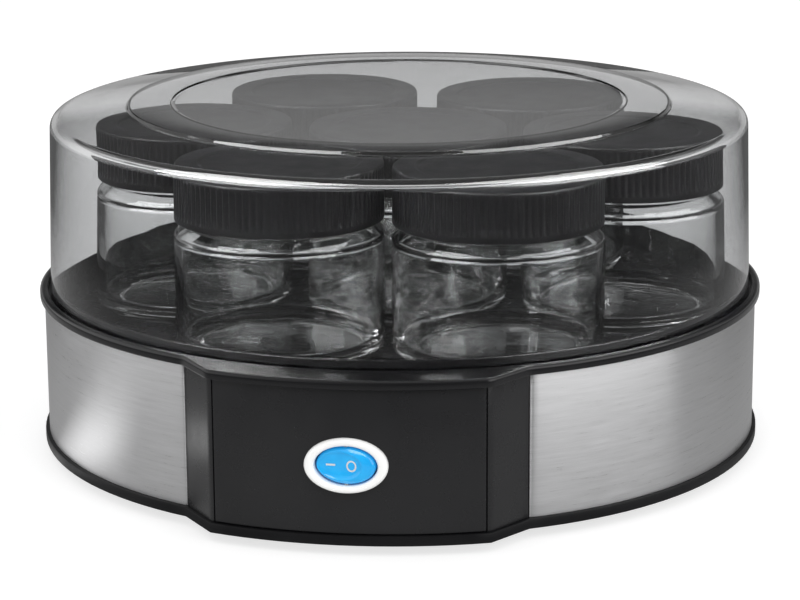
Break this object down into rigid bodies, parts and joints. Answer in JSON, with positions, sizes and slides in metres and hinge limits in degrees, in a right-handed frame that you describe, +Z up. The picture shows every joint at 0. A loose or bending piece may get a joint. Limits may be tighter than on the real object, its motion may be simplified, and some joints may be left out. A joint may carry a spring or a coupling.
{
  "type": "yogurt maker",
  "caption": "Round electric yogurt maker: steel-banded heated base with an oval rocker switch, screw-capped glass jars and a clear lift-off lid.",
  "frame": {"origin": "on the axis of the round base, at the surface that the rubber feet stand on, midway between the rocker's front and the cord gland's end", "axes": "+Z up along the base's axis, -Y out of the control panel, +Y out of the cord gland, +X to the right of a user who faces the panel"},
  "size_m": [0.239, 0.2592, 0.1138],
  "materials": {
    "base_black": "fine moulded texture",
    "panel_black": "semi-gloss",
    "rim_black": "gloss",
    "shell_grey": "moulded, hidden",
    "band_steel": "brushed along the band",
    "rubber": "matt",
    "screw_steel": "zinc plated",
    "plate_aluminium": "mill finish",
    "sheath_steel": "dull",
    "bush_ceramic": "unglazed",
    "insulation": "pressed mica board",
    "thermostat_black": "phenolic",
    "switch_white": "gloss",
    "switch_black": "moulded nylon",
    "rocker_blue": "translucent, gloss",
    "brass": "stamped",
    "lamp_glass": "clear",
    "block_white": "nylon",
    "wire_brown": "PVC insulation",
    "wire_blue": "PVC insulation",
    "lid_clear": "transparent, polished",
    "jar_glass": "clear, polished",
    "cap_black": "fine moulded texture, ribbed grip",
    "liner_white": "soft foam disc"
  },
  "bodies": {
    "base": {"bottom_cover": "base_black", "rubber_feet": "rubber", "housing_screws": "screw_steel", "inner_shell": "shell_grey", "steel_band": "band_steel", "front_housing": "panel_black", "front_panel": "panel_black", "top_deck": "rim_black", "heat_plate": "plate_aluminium", "heating_element": "sheath_steel", "element_bushes": "bush_ceramic", "insulation_disc": "insulation", "reflector_plate": "sheath_steel", "plate_screws": "screw_steel", "thermostat": "thermostat_black", "thermostat_bracket": "screw_steel", "bracket_screws": "screw_steel", "thermal_fuse": "bush_ceramic", "fuse_clip": "screw_steel", "switch_bezel": "switch_white", "switch_body": "switch_black", "rocker_pin": "screw_steel", "switch_terminals": "brass", "switch_lamp": "lamp_glass", "cord_gland": "rubber", "cord_clamp": "block_white", "clamp_screws": "screw_steel", "terminal_block": "block_white", "terminal_screws": "brass", "live_wire": "wire_brown", "lamp_wire": "wire_blue", "switched_wire": "wire_brown", "thermostat_wire": "wire_brown", "fuse_wire": "wire_brown", "neutral_wire": "wire_blue"},
    "rocker": {"switch_rocker": "rocker_blue"},
    "lid": {"lid": "lid_clear"},
    "jar_centre": {"jar_centre": "jar_glass"},
    "liner_centre": {"liner_centre": "liner_white"},
    "cap_centre": {"cap_centre": "cap_black"},
    "jar_front_right": {"jar_front_right": "jar_glass"},
    "liner_front_right": {"liner_front_right": "liner_white"},
    "cap_front_right": {"cap_front_right": "cap_black"},
    "jar_right": {"jar_right": "jar_glass"},
    "liner_right": {"liner_right": "liner_white"},
    "cap_right": {"cap_right": "cap_black"},
    "jar_back_right": {"jar_back_right": "jar_glass"},
    "liner_back_right": {"liner_back_right": "liner_white"},
    "cap_back_right": {"cap_back_right": "cap_black"},
    "jar_back_left": {"jar_back_left": "jar_glass"},
    "liner_back_left": {"liner_back_left": "liner_white"},
    "cap_back_left": {"cap_back_left": "cap_black"},
    "jar_left": {"jar_left": "jar_glass"},
    "liner_left": {"liner_left": "liner_white"},
    "cap_left": {"cap_left": "cap_black"},
    "jar_front_left": {"jar_front_left": "jar_glass"},
    "liner_front_left": {"liner_front_left": "liner_white"},
    "cap_front_left": {"cap_front_left": "cap_black"}
  },
  "joints": [
    {"name": "lid_lift", "type": "slide", "parent": "base", "child": "lid", "axis": [0, 0, 1], "range_m": [0, 0.16]},
    {"name": "switch_rock", "type": "hinge", "parent": "base", "child": "rocker", "pos_m": [0, -0.1262, 0.0277], "axis": [0, 0, 1], "range_deg": [0, 18]},
    {"name": "jar_centre_lift", "type": "slide", "parent": "base", "child": "jar_centre", "axis": [0, 0, 1], "range_m": [0, 0.08]},
    {"name": "cap_centre_rise", "type": "slide", "parent": "jar_centre", "child": "liner_centre", "axis": [0, 0, 1], "range_m": [0, 0.0031]},
    {"name": "cap_centre_turn", "type": "hinge", "parent": "liner_centre", "child": "cap_centre", "pos_m": [0.003, 0, 0.095], "axis": [0, 0, 1], "range_deg": [0, 360]},
    {"name": "jar_front_right_lift", "type": "slide", "parent": "base", "child": "jar_front_right", "axis": [0, 0, 1], "range_m": [0, 0.08]},
    {"name": "cap_front_right_rise", "type": "slide", "parent": "jar_front_right", "child": "liner_front_right", "axis": [0, 0, 1], "range_m": [0, 0.0031]},
    {"name": "cap_front_right_turn", "type": "hinge", "parent": "liner_front_right", "child": "cap_front_right", "pos_m": [0.03837, -0.06127, 0.095], "axis": [0, 0, 1], "range_deg": [0, 360]},
    {"name": "jar_right_lift", "type": "slide", "parent": "base", "child": "jar_right", "axis": [0, 0, 1], "range_m": [0, 0.08]},
    {"name": "cap_right_rise", "type": "slide", "parent": "jar_right", "child": "liner_right", "axis": [0, 0, 1], "range_m": [0, 0.0031]},
    {"name": "cap_right_turn", "type": "hinge", "parent": "liner_right", "child": "cap_right", "pos_m": [0.07375, 0, 0.095], "axis": [0, 0, 1], "range_deg": [0, 360]},
    {"name": "jar_back_right_lift", "type": "slide", "parent": "base", "child": "jar_back_right", "axis": [0, 0, 1], "range_m": [0, 0.08]},
    {"name": "cap_back_right_rise", "type": "slide", "parent": "jar_back_right", "child": "liner_back_right", "axis": [0, 0, 1], "range_m": [0, 0.0031]},
    {"name": "cap_back_right_turn", "type": "hinge", "parent": "liner_back_right", "child": "cap_back_right", "pos_m": [0.03837, 0.06127, 0.095], "axis": [0, 0, 1], "range_deg": [0, 360]},
    {"name": "jar_back_left_lift", "type": "slide", "parent": "base", "child": "jar_back_left", "axis": [0, 0, 1], "range_m": [0, 0.08]},
    {"name": "cap_back_left_rise", "type": "slide", "parent": "jar_back_left", "child": "liner_back_left", "axis": [0, 0, 1], "range_m": [0, 0.0031]},
    {"name": "cap_back_left_turn", "type": "hinge", "parent": "liner_back_left", "child": "cap_back_left", "pos_m": [-0.03417, 0.06127, 0.095], "axis": [0, 0, 1], "range_deg": [0, 360]},
    {"name": "jar_left_lift", "type": "slide", "parent": "base", "child": "jar_left", "axis": [0, 0, 1], "range_m": [0, 0.08]},
    {"name": "cap_left_rise", "type": "slide", "parent": "jar_left", "child": "liner_left", "axis": [0, 0, 1], "range_m": [0, 0.0031]},
    {"name": "cap_left_turn", "type": "hinge", "parent": "liner_left", "child": "cap_left", "pos_m": [-0.06875, 0, 0.095], "axis": [0, 0, 1], "range_deg": [0, 360]},
    {"name": "jar_front_left_lift", "type": "slide", "parent": "base", "child": "jar_front_left", "axis": [0, 0, 1], "range_m": [0, 0.08]},
    {"name": "cap_front_left_rise", "type": "slide", "parent": "jar_front_left", "child": "liner_front_left", "axis": [0, 0, 1], "range_m": [0, 0.0031]},
    {"name": "cap_front_left_turn", "type": "hinge", "parent": "liner_front_left", "child": "cap_front_left", "pos_m": [-0.02967, -0.06127, 0.095], "axis": [0, 0, 1], "range_deg": [0, 360]}
  ],
  "couplings": [
    {"joint": "jar_centre_lift", "follows": "lid_lift", "ratio": 0.5},
    {"joint": "cap_centre_rise", "follows": "cap_centre_turn", "m_per_rad": 0.00047746},
    {"joint": "jar_front_right_lift", "follows": "lid_lift", "ratio": 0.5},
    {"joint": "cap_front_right_rise", "follows": "cap_front_right_turn", "m_per_rad": 0.00047746},
    {"joint": "jar_right_lift", "follows": "lid_lift", "ratio": 0.5},
    {"joint": "cap_right_rise", "follows": "cap_right_turn", "m_per_rad": 0.00047746},
    {"joint": "jar_back_right_lift", "follows": "lid_lift", "ratio": 0.5},
    {"joint": "cap_back_right_rise", "follows": "cap_back_right_turn", "m_per_rad": 0.00047746},
    {"joint": "jar_back_left_lift", "follows": "lid_lift", "ratio": 0.5},
    {"joint": "cap_back_left_rise", "follows": "cap_back_left_turn", "m_per_rad": 0.00047746},
    {"joint": "jar_left_lift", "follows": "lid_lift", "ratio": 0.5},
    {"joint": "cap_left_rise", "follows": "cap_left_turn", "m_per_rad": 0.00047746},
    {"joint": "jar_front_left_lift", "follows": "lid_lift", "ratio": 0.5},
    {"joint": "cap_front_left_rise", "follows": "cap_front_left_turn", "m_per_rad": 0.00047746}
  ]
}
